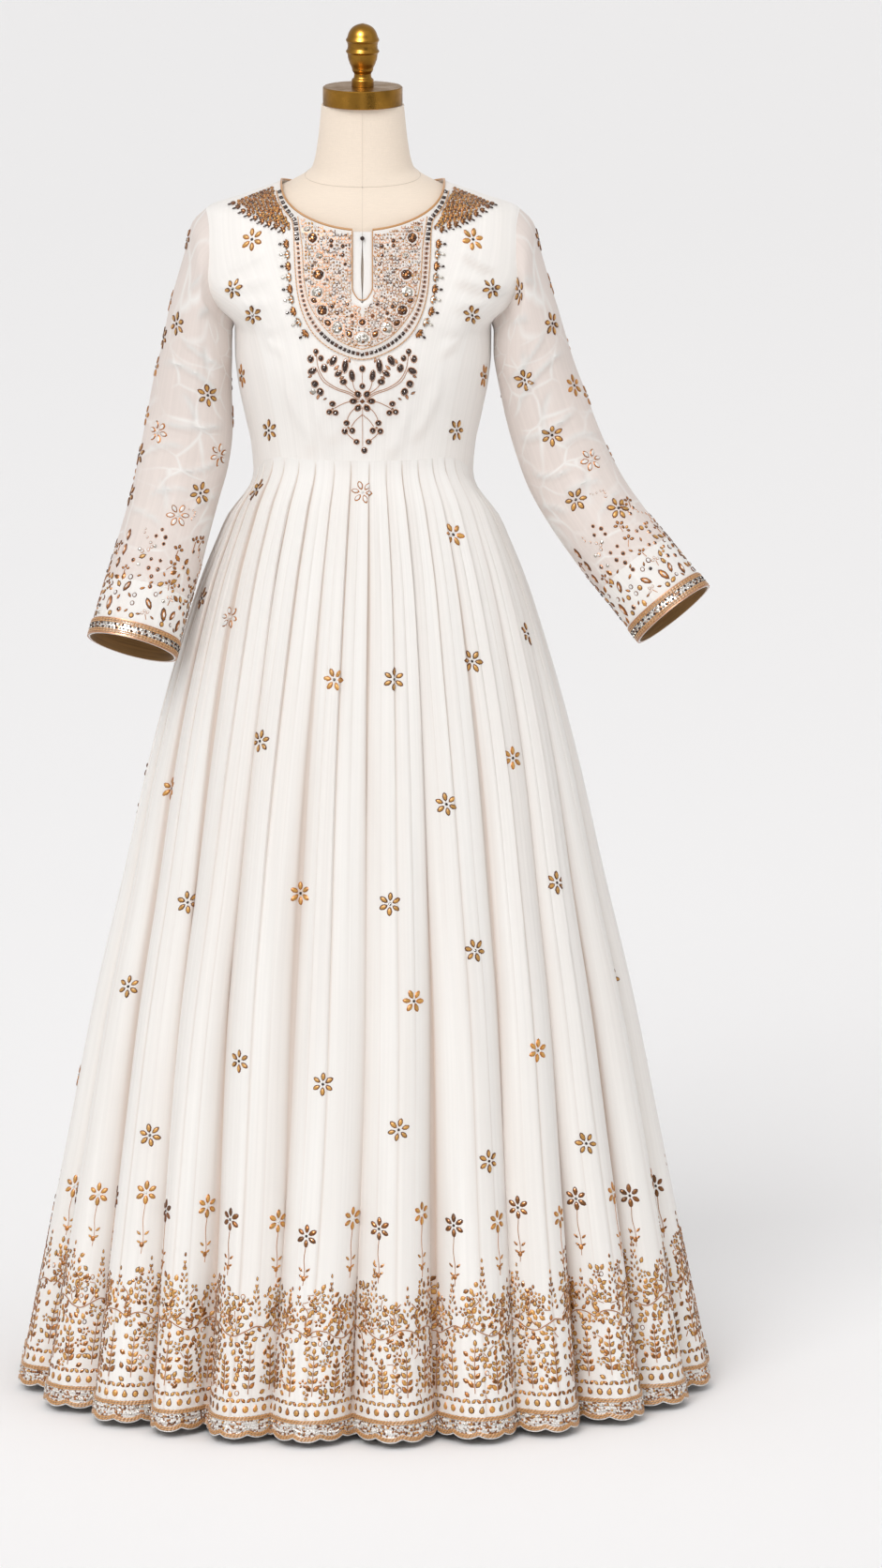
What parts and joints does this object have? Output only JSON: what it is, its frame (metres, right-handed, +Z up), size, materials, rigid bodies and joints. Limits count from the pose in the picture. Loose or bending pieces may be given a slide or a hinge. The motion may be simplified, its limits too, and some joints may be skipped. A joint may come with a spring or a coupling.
{
  "type": "anarkali gown on a dress form",
  "caption": "Floor-length gown with a fitted princess-seamed bodice, slit neckline, long sleeves and a full pleated skirt with a scalloped hem, on a limbless dress form with a round base.",
  "frame": {"origin": "centre of the stand base's underside, where it meets the floor", "axes": "+Z up along the form; -Y out of the gown's front; +X towards the wearer's left sleeve"},
  "size_m": [0.8253, 0.6592, 1.6392],
  "materials": {
    "white_georgette": "matte crepe weave, half sheer over a lining, with tone-on-tone and copper embroidery",
    "sheer_georgette": "sheer matte crepe weave with scattered embroidery",
    "lined_cuff_cloth": "opaque lined crepe weave",
    "gold_thread_trim": "couched antique-gold and copper thread with beads",
    "dark_bronze_bead": "polished",
    "linen_form_cover": "plain linen, stretched smooth",
    "brushed_brass": "brushed, slightly aged",
    "painted_steel": "satin cream paint"
  },
  "bodies": {
    "root": {"bodice_back": "white_georgette", "bodice_front": "white_georgette", "bodice_side_front_left": "white_georgette", "bodice_side_front_right": "white_georgette", "placket_left": "white_georgette", "placket_right": "white_georgette", "skirt_back": "white_georgette", "skirt_front": "white_georgette", "sleeve_left": "sheer_georgette", "sleeve_right": "sheer_georgette", "cuff_left": "lined_cuff_cloth", "cuff_right": "lined_cuff_cloth", "cuff_trim_left": "gold_thread_trim", "cuff_trim_right": "gold_thread_trim", "hem_border_back": "gold_thread_trim", "hem_border_front": "gold_thread_trim", "neck_binding": "gold_thread_trim", "yoke_applique": "gold_thread_trim", "neck_button": "dark_bronze_bead", "form_torso": "linen_form_cover", "neck_cap": "brushed_brass", "finial": "brushed_brass", "stand_base": "painted_steel", "stand_pole": "painted_steel"}
  },
  "joints": []
}
